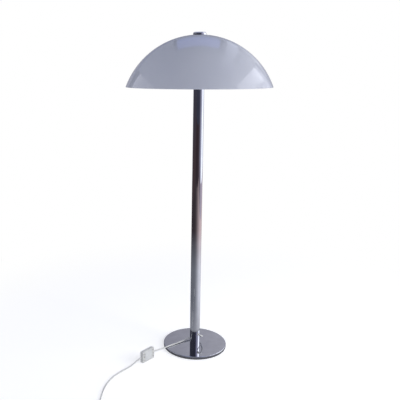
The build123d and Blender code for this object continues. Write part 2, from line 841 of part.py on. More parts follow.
# Two brass terminal blocks on the tray's floor, low enough for the plate to travel over them
with BuildPart() as switch_terminals:
    with BuildSketch(switch_plane.offset(tray_floor)):
        with GridLocations(terminal_spacing, 0, 2, 1):
            Rectangle(terminal_length, terminal_width)
    extrude(amount=plate_low - press_travel - 2 * plate_gap - tray_floor)
export_piece(switch_terminals, "switch_terminals")

with BuildPart() as switch_screws:
    with BuildSketch(switch_plane.offset(-half_thickness)):
        with screw_places:
            Circle(screw_head_dia / 2)
    extrude(amount=screw_head_height)
    with BuildSketch(switch_plane.offset(-half_thickness)):
        with screw_places:
            Circle(screw_dia / 2)
    extrude(amount=screw_length)
export_piece(switch_screws, "switch_screws")

# ---- Cord and plug -------------------------------------------------------------------------------

# From the pole's hole, round behind the pole, over the base and up into the switch
lead_points = [
    exit_point,
    tuple(hole_plane.origin + exit_ray * (exit_distance + exit_run)),
    (27.5, -21.0, 49.5),
    (31.5, -9.5, 43.0),
    (30.0, 5.5, 35.5),
    (23.0, 19.5, 28.5),
    (9.0, 28.5, 24.0),
    (-9.0, 29.0, 20.3),
    (-25.0, 19.5, 17.8),
    (-46.0, -1.5, 15.9),
    (-77.0, -28.0, 15.0),
    (-113.0, -60.0, 15.4),
    (-139.0, -88.4, 18.7),
    tuple(switch_plane.origin + along * half_length),
]

# From the switch down to the floor and out to the coil
tail_points = [
    tuple(switch_plane.origin - along * half_length),
    (-216.0, -180.5, 20.0),
    (-231.5, -195.5, 11.0),
    (-249.0, -211.5, 3.6),
    (-277.0, -243.0, 3.0),
    (-301.0, -285.0, 3.0),
    (-316.0, -337.0, 3.0),
    (-320.0, -394.0, 3.0),
    (-318.0, -450.0, 3.0),
    (-317.0, -490.0, 3.0),
]

# From the coil's top layer down to the floor and into the plug
plug_ray = direction(plug_angle)
plug_entry = Vector(*plug_place, plug_thickness / 2)
end_points = [
    (-270.0, -543.3, 8.4),
    (-254.0, -544.3, 5.8),
    (-237.0, -542.3, 4.6),
    tuple(plug_entry - plug_ray * entry_run),
    tuple(plug_entry),
]

for name, points in (("cord_lead", lead_points), ("cord_tail", tail_points), ("cord_end", end_points)):
    radii = bend_radii(points)
    with BuildPart() as cord:
        with BuildLine() as route:
            FilletPolyline(*points, radius=radii)
        with BuildSketch(Plane(origin=route.line @ 0, z_dir=route.line % 0)):
            Circle(cord_r)
        sweep()
    route_length = route.wire().length
    print(name, "length", round(route_length, 1), "radii", [round(radius, 1) for radius in radii])
    print(name, "volume over section x length", cord.part.volume / (pi * cord_r**2 * route_length))
    export_piece(cord, name)

# Outer shape of the coil
with BuildPart() as cord_coil:
    with BuildSketch(Plane(origin=(coil_centre[0], coil_centre[1], coil_floor_gap))):
        Circle(coil_outer_dia / 2)
        Circle(coil_inner_dia / 2, mode=Mode.SUBTRACT)
    extrude(amount=coil_height)
    fillet(cord_coil.edges().filter_by(GeomType.CIRCLE), radius=cord_r)
export_piece(cord_coil, "cord_coil")

# Plug: X along its pins, lying flat, with a tapered sleeve round the cord
plug_plane = Plane(origin=plug_entry, x_dir=plug_ray, z_dir=(0, 0, 1))
sleeve_plane = Plane(origin=plug_entry, x_dir=(0, 0, 1), z_dir=plug_ray)
plug_end = plug_sleeve_length + plug_length
with BuildPart() as plug_body:
    with BuildSketch(plug_plane.offset(-plug_thickness / 2)):
        with BuildLine():
            Polyline(
                (plug_sleeve_length, plug_sleeve_dia / 2),
                (plug_sleeve_length + plug_shoulder_run, plug_width / 2),
                (plug_end - plug_nose_run, plug_width / 2),
                (plug_end, plug_nose_width / 2),
                (plug_end, -plug_nose_width / 2),
                (plug_end - plug_nose_run, -plug_width / 2),
                (plug_sleeve_length + plug_shoulder_run, -plug_width / 2),
                (plug_sleeve_length, -plug_sleeve_dia / 2),
                close=True,
            )
        make_face()
    extrude(amount=plug_thickness)
    fillet(plug_body.edges().filter_by(Axis.Z), radius=plug_edge_radius)
    fillet(plug_body.edges().group_by(Axis.Z)[-1], radius=plug_edge_radius)
    fillet(plug_body.edges().group_by(Axis.Z)[0], radius=plug_edge_radius)
    with BuildSketch(sleeve_plane):
        Circle(plug_mouth_dia / 2)
    with BuildSketch(sleeve_plane.offset(plug_sleeve_length + plug_edge_radius)):
        Circle(plug_sleeve_dia / 2)
    loft()
export_piece(plug_body, "plug_body")

with BuildPart() as plug_pins:
    with BuildSketch(sleeve_plane.offset(plug_end)):
        with GridLocations(0, pin_spacing, 1, 2):
            Circle(pin_dia / 2)
    extrude(amount=pin_length)
    fillet(plug_pins.faces().sort_by(Axis(plug_plane.origin, plug_ray))[-2:].edges(), radius=pin_tip_radius)
export_piece(plug_pins, "plug_pins")
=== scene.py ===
"""Dresses the mushroom floor lamp: its finishes, cords and threads, in a plain pale studio.

Metres, +Z up. The pole stands on the origin and -Y is the lamp's front.
"""

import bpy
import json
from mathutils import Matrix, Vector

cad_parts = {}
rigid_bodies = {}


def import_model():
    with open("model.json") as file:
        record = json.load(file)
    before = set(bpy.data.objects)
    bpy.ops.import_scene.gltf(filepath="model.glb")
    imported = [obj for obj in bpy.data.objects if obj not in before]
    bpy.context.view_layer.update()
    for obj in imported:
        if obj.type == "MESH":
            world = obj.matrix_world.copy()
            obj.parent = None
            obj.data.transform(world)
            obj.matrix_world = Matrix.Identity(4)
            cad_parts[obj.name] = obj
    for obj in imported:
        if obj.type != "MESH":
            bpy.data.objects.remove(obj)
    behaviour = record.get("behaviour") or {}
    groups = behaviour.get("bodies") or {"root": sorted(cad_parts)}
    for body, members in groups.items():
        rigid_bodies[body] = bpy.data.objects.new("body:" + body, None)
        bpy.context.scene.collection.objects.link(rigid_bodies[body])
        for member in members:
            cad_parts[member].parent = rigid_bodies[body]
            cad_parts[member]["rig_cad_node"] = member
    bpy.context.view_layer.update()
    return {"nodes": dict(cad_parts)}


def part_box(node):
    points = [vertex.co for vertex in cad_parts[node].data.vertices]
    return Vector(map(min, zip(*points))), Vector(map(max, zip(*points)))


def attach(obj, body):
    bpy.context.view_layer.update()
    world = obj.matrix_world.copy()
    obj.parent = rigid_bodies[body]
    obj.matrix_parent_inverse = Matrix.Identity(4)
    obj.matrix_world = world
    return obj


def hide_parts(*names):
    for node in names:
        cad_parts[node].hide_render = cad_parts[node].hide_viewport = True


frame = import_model()

import json
import logging
from collections.abc import Callable, Iterable, Sequence
from dataclasses import dataclass, field
from enum import Enum
from math import ceil, copysign, cos, pi, radians, sin, tau
from typing import ClassVar

import bmesh
import bpy
from bmesh.types import BMesh, BMVert
from mathutils import Matrix, Vector

log = logging.getLogger("lamp")

Point = tuple[float, float, float]
Colour = tuple[float, float, float]
Span = tuple[float, float]
Socket = bpy.types.NodeSocket
Node = bpy.types.ShaderNode
Inputs = dict[str | int, object]
Material = bpy.types.Material
Mesh = bpy.types.Mesh
Piece = bpy.types.Object

NEW_PIECES_BODY = "lamp"
FULL: Span = (0.0, 1.0)


class Slot(Enum):
    """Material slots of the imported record."""

    CHROME = "chrome"
    CAST_IRON = "cast_iron"
    FELT = "felt"
    ZINC = "zinc_steel"
    RUBBER = "white_rubber"
    CORD = "cord_jacket"
    TERMINAL = "terminal_plastic"
    LEAD = "lead_jacket"
    BRASS = "brass"
    ENAMEL = "white_enamel"
    OPAL = "opal_acrylic"
    HOLDER = "holder_plastic"
    SWITCH = "switch_plastic"
    PLATE = "plate_plastic"
    PLUG = "plug_plastic"
    PINS = "plated_pins"
    BULB_CAP = "bulb_cap"
    BULB_GLASS = "bulb_glass"


Nodes = dict[Slot, Sequence[str]]


class FarEnd(Enum):
    """What a cord ends in."""

    FITTING = "fitting"
    PLUG = "plug"


class Lay(Enum):
    """How a cord lies."""

    LOOSE = "loose"
    COILED = "coiled"


class Stiffness(Enum):
    """How readily a cord bends."""

    LIMP = "limp"


# ---- Shader bench ----


def opaque(colour: Colour | Socket) -> tuple[float, ...] | Socket:
    """A colour with the fourth value that a colour socket takes, or a socket as it is."""
    return colour if isinstance(colour, Socket) else (*colour, 1.0)


class Bench:
    """The node tree of a material or a world, with short calls for what they share.

    Attributes:
        mixed: Places of the colour mixer's share, two colours and result among its sockets.
    """

    mixed: ClassVar[tuple[int, ...]] = (0, 6, 7, 2)

    def __init__(self, owner: Material | bpy.types.World) -> None:
        """Empties the owner's node tree and adds coordinates in metres.

        Args:
            owner: The material or the world.
        """
        owner.use_nodes = True
        self.owner = owner
        self.tree = owner.node_tree
        self.tree.nodes.clear()
        self.coordinates = self.add("TexCoord").outputs
        self.place = self.coordinates["Object"]

    def add(self, kind: str, inputs: Inputs | None = None, **settings: object) -> Node:
        """Adds a node.

        Args:
            kind: The node's type, without the "ShaderNode" in front.
            inputs: What its inputs are joined to or, where it isn't a socket, set to.
            settings: Properties to set on it.

        Returns:
            The new node.
        """
        node = self.tree.nodes.new(f"ShaderNode{kind}")
        for key, value in settings.items():
            setattr(node, key, value)
        for key, value in (inputs or {}).items():
            if isinstance(value, Socket):
                self.tree.links.new(value, node.inputs[key])
            else:
                node.inputs[key].default_value = value
        return node

    def noise(self, scale: float, detail: float = 3.0, drawn: Point | None = None) -> Socket:
        """Cloudy noise.

        Args:
            scale: Features to the metre.
            detail: Octaves.
            drawn: How it is drawn out, as a factor for each axis.

        Returns:
            The grey value's socket.
        """
        place = self.place
        if drawn is not None:
            place = self.add("Mapping", {"Vector": place, "Scale": drawn}).outputs["Vector"]
        return self.add("TexNoise", {"Vector": place, "Scale": scale, "Detail": detail}).outputs["Fac"]

    def cells(self, scale: float) -> Socket:
        """Distance to the nearest of scattered points, so many to the metre."""
        return self.add("TexVoronoi", {"Vector": self.place, "Scale": scale}).outputs["Distance"]

    def remap(self, value: Socket, source: Span, target: Span, kind: str = "LINEAR") -> Socket:
        """Maps one span of values onto another, clamped.

        Args:
            value: What is mapped.
            source: The span that is read.
            target: The span that comes out.
            kind: How it runs from one end to the other.

        Returns:
            The mapped value's socket.
        """
        ends = zip(("From Min", "From Max", "To Min", "To Max"), (*source, *target))
        node = self.add("MapRange", {"Value": value, **dict(ends)}, interpolation_type=kind)
        return node.outputs["Result"]

    def blend(self, share: Socket, first: Colour | Socket, second: Colour | Socket) -> Socket:
        """Mixes two colours.

        Args:
            share: Share of the second colour.
            first: A colour or a colour socket.
            second: A colour or a colour socket.

        Returns:
            The mixed colour's socket.
        """
        *places, result = self.mixed
        inputs = dict(zip(places, (share, opaque(first), opaque(second))))
        return self.add("Mix", inputs, data_type="RGBA").outputs[result]

    def coordinate(self, vector: Socket, axis: str) -> Socket:
        """One coordinate of a vector."""
        return self.add("SeparateXYZ", {"Vector": vector}).outputs[axis]

    def distance(self) -> Socket:
        """Distance from the object's origin."""
        return self.add("VectorMath", {0: self.place}, operation="LENGTH").outputs["Value"]

    def seen_rays(self) -> Socket:
        """1 for rays that come from the camera, a mirror or glass, and 0 for light on the object.

        Returns:
            The value's socket.
        """
        rays = self.add("LightPath").outputs
        seen = rays["Is Camera Ray"]
        for kind in ("Is Glossy Ray", "Is Transmission Ray"):
            seen = self.add("Math", {0: seen, 1: rays[kind]}, operation="MAXIMUM").outputs[0]
        return seen

    def mix(self, share: Socket, first: Node, second: Node) -> Socket:
        """Mixes the shaders of two nodes, by the second one's share."""
        return self.add("MixShader", {0: share, 1: first.outputs[0], 2: second.outputs[0]}).outputs[0]

    def glow(self, colour: Colour | Socket, strength: Socket | float = 1.0) -> Material:
        """Makes the material shine by itself.

        Args:
            colour: The colour that it shines with.
            strength: How strongly.

        Returns:
            The material.
        """
        emission = self.add("Emission", {"Color": opaque(colour), "Strength": strength})
        self.add("OutputMaterial", {"Surface": emission.outputs[0]})
        return self.owner


# ---- Finishes ----


@dataclass(frozen=True)
class Relief:
    """One layer of the fine relief on a surface.

    Attributes:
        scale: Features to the metre.
        depth: Its depth in metres.
        detail: Octaves of its noise, or None for the round cells of grains and specks.
        drawn: How it is drawn out, as a factor for each axis.
    """

    scale: float
    depth: float
    detail: float | None = 2.0
    drawn: Point | None = None

    def stack(self, bench: Bench, below: dict[str, Socket]) -> dict[str, Socket]:
        """Lays the layer on the ones below it.

        Args:
            bench: The material being made.
            below: The normal input that they give, or nothing for the lowest layer.

        Returns:
            The normal input that all of them give.
        """
        if self.detail is None:
            height = bench.cells(self.scale)
        else:
            height = bench.noise(self.scale, self.detail, self.drawn)
        bump = bench.add("Bump", {"Distance": self.depth, "Height": height, **below})
        return {"Normal": bump.outputs["Normal"]}


@dataclass(frozen=True)
class Finish:
    """A surface with clouded colour, uneven gloss and a fine grain.

    Attributes:
        slot: The record's slot that it dresses.
        light: The lighter of its two colours.
        dark: The darker one.
        patch: Clouds of colour to the metre.
        gloss: Lowest and highest roughness.
        smear: Clouds of gloss to the metre.
        grain: Grains to the metre.
        depth: The grain's depth in metres.
        constants: Constants of the shader, by socket.
        clouded: Values of the noise between which the colour changes.
        smeared: Values of the noise between which the gloss changes.
        smear_detail: Octaves of the noise in the gloss.
    """

    slot: Slot
    light: Colour
    dark: Colour
    patch: float = 30.0
    gloss: Span = (0.4, 0.55)
    smear: float = 60.0
    grain: float = 2500.0
    depth: float = 0.00002
    constants: ClassVar[Inputs] = {}
    clouded: ClassVar[Span] = (0.3, 0.7)
    smeared: ClassVar[Span] = (0.35, 0.7)
    smear_detail: ClassVar[float] = 5.0

    def colour(self, bench: Bench) -> Socket:
        """The colour over the surface."""
        clouds = bench.remap(bench.noise(self.patch), self.clouded, FULL)
        return bench.blend(clouds, self.light, self.dark)

    def layers(self) -> Iterable[Relief]:
        """The grain, and what else stands up from the surface, from the lowest layer up."""
        return (Relief(self.grain, self.depth),)

    def make(self) -> Material:
        """Builds the material.

        Returns:
            The finished material.
        """
        bench = Bench(bpy.data.materials.new(self.slot.value))
        smears = bench.remap(bench.noise(self.smear, self.smear_detail), self.smeared, self.gloss)
        normal = {}
        for layer in self.layers():
            normal = layer.stack(bench, normal)
        inputs = {"Base Color": self.colour(bench), "Roughness": smears, **self.constants, **normal}
        surface = bench.add("BsdfPrincipled", inputs)
        bench.add("OutputMaterial", {"Surface": surface.outputs["BSDF"]})
        return bench.owner


@dataclass(frozen=True)
class Metal(Finish):
    """Bare or plated metal, with wiping marks drawn out along one axis.

    Attributes:
        drawn: How the marks are drawn out, as a factor for each axis.
        marks: Marks to the metre, before they are drawn out.
        mark_depth: Their depth in metres.
    """

    drawn: Point = (1.0, 1.0, 0.05)
    marks: float = 900.0
    mark_depth: float = 0.000004
    constants: ClassVar[Inputs] = {"Metallic": 1.0}

    def layers(self) -> Iterable[Relief]:
        """The grain and the wiping marks."""
        return (*super().layers(), Relief(self.marks, self.mark_depth, drawn=self.drawn))


@dataclass(frozen=True)
class Opal(Finish):
    """Opal white acrylic: a glossy skin over a body that light soaks into."""

    constants: ClassVar[Inputs] = {
        "IOR": 1.49,
        "Subsurface Weight": 0.18,
        "Subsurface Radius": (1.0, 1.0, 1.1),
        "Subsurface Scale": 0.006,
    }

    def layers(self) -> Iterable[Relief]:
        """A faint ripple of the formed sheet, and hairline wiping marks."""
        return (Relief(9.0, 0.00012, 1.0), Relief(700.0, self.depth, drawn=(0.04, 1.0, 1.0)))


@dataclass(frozen=True)
class Moulded(Finish):
    """Moulded plastic with a spark-eroded grain and a little grime.

    Attributes:
        soiled: Share of the surface's darkest clouds that is soiled.
        grime: Colour of the grime.
        blotches: Blotches of grime to the metre.
        blotched: Values of the noise between which the grime sets in.
    """

    soiled: float = 0.25
    grime: ClassVar[Colour] = (0.42, 0.40, 0.35)
    blotches: ClassVar[float] = 45.0
    blotched: ClassVar[Span] = (0.5, 0.95)
    constants: ClassVar[Inputs] = {"IOR": 1.5}

    def colour(self, bench: Bench) -> Socket:
        """Clouded colour with grime in blotches."""
        blotches = bench.remap(bench.noise(self.blotches), self.blotched, (0.0, self.soiled))
        return bench.blend(blotches, super().colour(bench), self.grime)

    def layers(self) -> Iterable[Relief]:
        """Rounded pits of the grain, and the skin's slow waves."""
        return (Relief(self.grain, self.depth, None), Relief(50.0, 0.00004, 1.0))


@dataclass(frozen=True)
class Jacket(Finish):
    """Soft jacket of a cord, with scuffs."""

    constants: ClassVar[Inputs] = {"IOR": 1.52, "Sheen Weight": 0.05}

    def layers(self) -> Iterable[Relief]:
        """The fine grain and the soft waves of the twisted cores under it."""
        return (*super().layers(), Relief(60.0, 0.00008, 1.0))


@dataclass(frozen=True)
class Felt(Finish):
    """Pressed wool felt: tangled fibres and a soft sheen."""

    constants: ClassVar[Inputs] = {"Sheen Weight": 0.6, "Sheen Roughness": 0.5}

    def layers(self) -> Iterable[Relief]:
        """Fibres lying two ways."""
        return (Relief(1800.0, self.depth, 3.0, way) for way in ((0.15, 1.0, 1.0), (1.0, 0.15, 1.0)))


@dataclass(frozen=True)
class Casting(Finish):
    """Sand-cast iron with a pebbled skin."""

    constants: ClassVar[Inputs] = {"Metallic": 0.6}

    def layers(self) -> Iterable[Relief]:
        """Sand grains and the mould's unevenness."""
        return (Relief(900.0, self.depth, None), Relief(70.0, 0.0004, 4.0))


@dataclass(frozen=True)
class OpalGlass(Finish):
    """Blown glass with a white coating inside."""

    constants: ClassVar[Inputs] = {
        "IOR": 1.5,
        "Subsurface Weight": 0.3,
        "Subsurface Radius": (1.0, 1.0, 1.0),
        "Subsurface Scale": 0.003,
    }


FINISHES: tuple[Finish, ...] = (
    Metal(Slot.CHROME, (0.62, 0.63, 0.67), (0.56, 0.57, 0.61), gloss=(0.02, 0.06), depth=0.000001,
          mark_depth=0.000001),
    Casting(Slot.CAST_IRON, (0.10, 0.10, 0.11), (0.05, 0.05, 0.05), gloss=(0.6, 0.8), depth=0.0002),
    Felt(Slot.FELT, (0.05, 0.05, 0.055), (0.025, 0.025, 0.03), gloss=(0.9, 1.0), depth=0.0001),
    Metal(Slot.ZINC, (0.60, 0.61, 0.64), (0.48, 0.49, 0.53), gloss=(0.22, 0.38), depth=0.00001),
    Moulded(Slot.RUBBER, (0.72, 0.72, 0.70), (0.62, 0.62, 0.60), gloss=(0.5, 0.7), depth=0.00002),
    Jacket(Slot.CORD, (0.88, 0.88, 0.85), (0.80, 0.80, 0.77), gloss=(0.32, 0.5), depth=0.00001),
    Moulded(Slot.TERMINAL, (0.82, 0.80, 0.74), (0.74, 0.72, 0.66)),
    Jacket(Slot.LEAD, (0.70, 0.70, 0.69), (0.60, 0.60, 0.59), gloss=(0.45, 0.6)),
    Metal(Slot.BRASS, (0.80, 0.60, 0.27), (0.62, 0.44, 0.18), gloss=(0.18, 0.36), depth=0.00001),
    Moulded(Slot.ENAMEL, (0.82, 0.82, 0.80), (0.76, 0.76, 0.74), gloss=(0.12, 0.22), soiled=0.08),
    # The opal's own milky white, dimmed and tinted blue-grey: the dimming and tint are painted light,
    # standing in for the dim bluish light on the dome.
    Opal(Slot.OPAL, (0.70, 0.72, 0.80), (0.67, 0.69, 0.78), patch=6.0, gloss=(0.012, 0.05), smear=16.0,
         depth=0.000002),
    Moulded(Slot.HOLDER, (0.84, 0.84, 0.81), (0.78, 0.78, 0.75), gloss=(0.25, 0.4), soiled=0.1),
    Moulded(Slot.SWITCH, (0.86, 0.86, 0.83), (0.80, 0.80, 0.77), gloss=(0.3, 0.45)),
    Moulded(Slot.PLATE, (0.88, 0.89, 0.88), (0.85, 0.86, 0.86), gloss=(0.2, 0.32), soiled=0.12),
    Moulded(Slot.PLUG, (0.76, 0.76, 0.75), (0.70, 0.70, 0.68), gloss=(0.35, 0.5)),
    Metal(Slot.PINS, (0.72, 0.71, 0.68), (0.60, 0.59, 0.56), gloss=(0.15, 0.3), drawn=(1.0, 1.0, 1.0)),
    Metal(Slot.BULB_CAP, (0.70, 0.70, 0.71), (0.58, 0.58, 0.60), gloss=(0.2, 0.36), drawn=(1.0, 1.0, 1.0)),
    OpalGlass(Slot.BULB_GLASS, (0.88, 0.88, 0.86), (0.84, 0.84, 0.81), gloss=(0.12, 0.25)),
)


class Wardrobe:
    """Makes each finish once and puts it on pieces."""

    def __init__(self, finishes: Iterable[Finish]) -> None:
        """Builds the materials of the finishes."""
        self.materials = {finish.slot: finish.make() for finish in finishes}

    def dress(self, piece: Piece, slot: Slot) -> Piece:
        """Puts one finish all over a piece and names its slot.

        Args:
            piece: A mesh or a curve.
            slot: The finish's slot.

        Returns:
            The piece.
        """
        piece.data.materials.clear()
        piece.data.materials.append(self.materials[slot])
        return piece

    def add(self, name: str, data: bpy.types.ID, slot: Slot, replaced: Sequence[str] = ()) -> Piece:
        """Puts a new piece on the lamp and dresses it.

        Args:
            name: The piece's name.
            data: Its mesh or curve.
            slot: Its finish's slot.
            replaced: Nodes that it stands for.

        Returns:
            The piece.
        """
        piece = put_in_scene(name, data)
        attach(piece, NEW_PIECES_BODY)
        if replaced:
            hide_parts(*replaced)
        return self.dress(piece, slot)


# ---- Meshes ----


def put_in_scene(name: str, data: bpy.types.ID) -> bpy.types.Object:
    """Puts a new object into the scene.

    Args:
        name: Its name.
        data: Its mesh, curve, light or camera, which takes the same name.

    Returns:
        The object.
    """
    data.name = name
    thing = bpy.data.objects.new(name, data)
    bpy.context.scene.collection.objects.link(thing)
    return thing


def add_bands(mesh: BMesh, rings: Sequence[Sequence[BMVert]]) -> None:
    """Fills the bands between neighbouring rings of corners.

    Args:
        mesh: The mesh that the corners are in.
        rings: The rings, with as many corners each.
    """
    for low, high in zip(rings, rings[1:]):
        for turn in range(len(low)):
            after = (turn + 1) % len(low)
            mesh.faces.new((low[turn], low[after], high[after], high[turn]))


def finished_mesh(mesh: BMesh) -> Mesh:
    """Turns the faces outwards and hands the mesh over.

    Args:
        mesh: The mesh being made, which is freed.

    Returns:
        The mesh.
    """
    bmesh.ops.recalc_face_normals(mesh, faces=mesh.faces)
    data = bpy.data.meshes.new("mesh")
    mesh.to_mesh(data)
    mesh.free()
    return data


def turned_mesh(
    radius: Callable[[float, float], float],
    stations: Sequence[float],
    placed: Matrix,
    around: int = 48,
) -> Mesh:
    """A closed body of revolution whose radius may also depend on the angle, as a thread's does.

    Args:
        radius: Radius at a station and an angle, in metres and radians.
        stations: Places along the axis, in order.
        placed: Takes the axis from Z to where the body lies.
        around: Corners round the axis.

    Returns:
        The mesh.
    """
    mesh = bmesh.new()
    angles = [tau * turn / around for turn in range(around)]
    rings = []
    for station in stations:
        spots = [(radius(station, a) * cos(a), radius(station, a) * sin(a), station) for a in angles]
        rings.append([mesh.verts.new(placed @ Vector(spot)) for spot in spots])
    add_bands(mesh, rings)
    mesh.faces.new(rings[0][::-1])
    mesh.faces.new(rings[-1])
    for face in mesh.faces:
        face.smooth = len(face.verts) == 4
    return finished_mesh(mesh)


def evenly(start: float, end: float, step: float) -> list[float]:
    """Places from start to end, at most a step apart."""
    count = max(1, ceil(abs(end - start) / step))
    return [start + (end - start) * index / count for index in range(count + 1)]


def heading(angle: float) -> Vector:
    """Level direction at an angle in degrees from +X."""
    return Vector((cos(radians(angle)), sin(radians(angle)), 0))


@dataclass(frozen=True)
class Thread:
    """A right-hand screw thread.

    Attributes:
        crest: Radius of its crests.
        depth: How deep its roots lie under them.
        pitch: Rise of one turn.
        rounded: Whether it is rolled round, as a bulb's is, or cut to a V.
    """

    crest: float
    depth: float
    pitch: float
    rounded: bool = False

    def radius(self, station: float, angle: float) -> float:
        """Radius at a place along the axis and an angle.

        Args:
            station: Place along the axis.
            angle: Angle round it, in radians.

        Returns:
            The radius.
        """
        phase = (station / self.pitch - angle / tau) % 1.0
        wave = (1 + cos(tau * phase)) / 2 if self.rounded else abs(2 * phase - 1)
        return self.crest - self.depth * (1 - wave)


def cord_curve(
    points: Sequence[Point], diameter: float, facets: int = 5, steps: int = 10
) -> bpy.types.Curve:
    """A cord as one smooth curve with a round section.

    Args:
        points: Points that steer it.
        diameter: Its diameter.
        facets: Facets round a quarter of its section.
        steps: Steps between two points.

    Returns:
        The curve.
    """
    curve = bpy.data.curves.new("curve", "CURVE")
    curve.dimensions = "3D"
    curve.bevel_depth = 1.0
    curve.bevel_resolution = facets
    curve.resolution_u = steps
    curve.use_fill_caps = True
    spline = curve.splines.new("NURBS")
    spline.points.add(len(points) - 1)
    for control, point in zip(spline.points, points):
        control.co = (*point, 1.0)
        control.radius = diameter / 2
    spline.order_u = 3
    spline.use_endpoint_u = True
    return curve


# ---- Sub-assemblies ----


def node_field(nodes: Nodes) -> Nodes:
    """A dataclass field for the names of an assembly's nodes."""
    return field(default_factory=lambda: nodes)


@dataclass
class Assembly:
    """A sub-assembly of the lamp.

    Attributes:
        nodes: Names of the frame's nodes in it, by slot.
    """

    nodes: Nodes

    def dress(self, wardrobe: Wardrobe) -> list[Piece]:
        """Dresses the nodes and gives their objects."""
        parts = [(slot, name) for slot, names in self.nodes.items() for name in names]
        return [wardrobe.dress(frame["nodes"][name], slot) for slot, name in parts]

    def build(self, wardrobe: Wardrobe) -> list[Piece]:
        """Makes and dresses what is visible of the sub-assembly, and gives its pieces."""
        return self.dress(wardrobe)


@dataclass
class Base(Assembly):
    """Weighted base: chromed cover, cast weight, felt pad and the bolt from below."""

    nodes: Nodes = node_field({
        Slot.CHROME: ["base_cover"],
        Slot.CAST_IRON: ["base_weight"],
        Slot.FELT: ["base_pad"],
        Slot.ZINC: ["base_washer", "base_bolt"],
    })


@dataclass
class Pole(Assembly):
    """Chromed tube with its plugs, the bush in its side hole and the cord inside it."""

    nodes: Nodes = node_field({
        Slot.CHROME: ["pole_tube", "pole_top_plug"],
        Slot.ZINC: ["pole_foot_plug"],
        Slot.RUBBER: ["cord_bush"],
        Slot.CORD: ["lamp_flex"],
    })


@dataclass(frozen=True)
class BulbCap:
    """Screw cap of a bulb: contact, dark glass round it, rolled thread and a plain collar.

    Attributes:
        start: Where the contact begins, along the cap's axis.
        end: Where the bulb's glass begins.
        outer: Radius over the thread's crests.
        tip_radius: Radius of the contact.
        insulator_radius: Radius of the dark glass round the contact.
        insulator_height: Reach of the cone up to that radius, and of the next one up to the thread.
        collar: Plain length at the bulb's glass.
        thread_depth: Depth of the rolled thread.
        thread_pitch: Its pitch.
        step: Length of its facets.
    """

    start: float
    end: float
    outer: float
    tip_radius: float = 0.0045
    insulator_radius: float = 0.0103
    insulator_height: float = 0.003
    collar: float = 0.004
    thread_depth: float = 0.0009
    thread_pitch: float = 0.00363
    step: float = 0.0004

    def radius(self, station: float, angle: float) -> float:
        """Radius at a place along the axis and an angle.

        Args:
            station: Place along the axis.
            angle: Angle round it, in radians.

        Returns:
            The radius.
        """
        cone_start = self.start + self.insulator_height
        if station <= cone_start:
            share = (station - self.start) / self.insulator_height
            return self.tip_radius + (self.insulator_radius - self.tip_radius) * share
        if station < cone_start + self.insulator_height:
            share = (station - cone_start) / self.insulator_height
            root = self.outer - self.thread_depth
            return self.insulator_radius + (root - self.insulator_radius) * share
        if station < self.end - self.collar:
            return Thread(self.outer, self.thread_depth, self.thread_pitch, True).radius(station, angle)
        return self.outer

    def build(self, wardrobe: Wardrobe, number: int, placed: Matrix) -> Piece:
        """Makes the cap.

        Args:
            wardrobe: The finishes.
            number: The bulb's number.
            placed: Takes the axis from Z to where the cap lies.

        Returns:
            The cap.
        """
        mesh = turned_mesh(self.radius, evenly(self.start, self.end, self.step), placed)
        return wardrobe.add(f"bulb_cap_{number}", mesh, Slot.BULB_CAP, [f"bulb_base_{number}"])


@dataclass
class Cluster(Assembly):
    """Hub with three lampholders and their bulbs.

    Attributes:
        count: Arms round the hub.
    """

    nodes: Nodes = node_field({
        Slot.CHROME: ["cluster_hub", "hub_lid"],
        Slot.ZINC: ["lower_nipple", "nipple_nut", "arm_nuts", "arm_tube_1", "arm_tube_2", "arm_tube_3"],
        Slot.TERMINAL: ["terminal_block", "holder_inserts"],
        Slot.LEAD: ["holder_leads"],
        Slot.BRASS: ["holder_liners", "holder_contacts"],
        Slot.HOLDER: [f"holder_{part}_{number}" for part in ("cap", "shell") for number in (1, 2, 3)],
        Slot.BULB_GLASS: ["bulb_glass_1", "bulb_glass_2", "bulb_glass_3"],
    })
    count: int = 3

    def build(self, wardrobe: Wardrobe) -> list[Piece]:
        """Dresses the cluster and gives each bulb its threaded cap.

        Args:
            wardrobe: The finishes.

        Returns:
            The nodes' objects and the caps.
        """
        pieces = self.dress(wardrobe)
        low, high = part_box("bulb_base_1")
        cap = BulbCap(start=low.y, end=high.y, outer=(high.z - low.z) / 2)
        middle = Matrix.Translation((0, 0, (high.z + low.z) / 2))
        along_y = Matrix.Rotation(radians(-90), 4, "X")
        for index in range(self.count):
            turn = Matrix.Rotation(tau * index / self.count, 4, "Z")
            pieces.append(cap.build(wardrobe, index + 1, middle @ turn @ along_y))
        return pieces


@dataclass
class Shade(Assembly):
    """Opal dome, its sleeve, and the rod, nuts, plate and ring that carry it.

    Attributes:
        thread_depth: Depth of the rod's thread.
        thread_pitch: Its pitch.
        thread_facets: Facets along one turn.
        around: Facets round the rod.
    """

    nodes: Nodes = node_field({
        Slot.OPAL: ["shade"],
        Slot.HOLDER: ["shade_bush"],
        Slot.ZINC: ["rod_nut", "plate_nut"],
        Slot.ENAMEL: ["shade_plate"],
        Slot.RUBBER: ["seat_ring"],
    })
    thread_depth: float = 0.0005
    thread_pitch: float = 0.0015
    thread_facets: int = 4
    around: int = 32

    def build(self, wardrobe: Wardrobe) -> list[Piece]:
        """Dresses the dome and cuts the thread on its rod.

        Args:
            wardrobe: The finishes.

        Returns:
            The nodes' objects and the rod.
        """
        pieces = self.dress(wardrobe)
        low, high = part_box("shade_rod")
        thread = Thread((high.x - low.x) / 2, self.thread_depth, self.thread_pitch)
        stations = evenly(low.z, high.z, self.thread_pitch / self.thread_facets)
        mesh = turned_mesh(thread.radius, stations, Matrix.Identity(4), self.around)
        return [*pieces, wardrobe.add("threaded_rod", mesh, Slot.ZINC, ["shade_rod"])]


@dataclass
class Knob(Assembly):
    """Chromed knob and the soft washer in its recess."""

    nodes: Nodes = node_field({Slot.CHROME: ["cap_knob"], Slot.RUBBER: ["cap_washer"]})


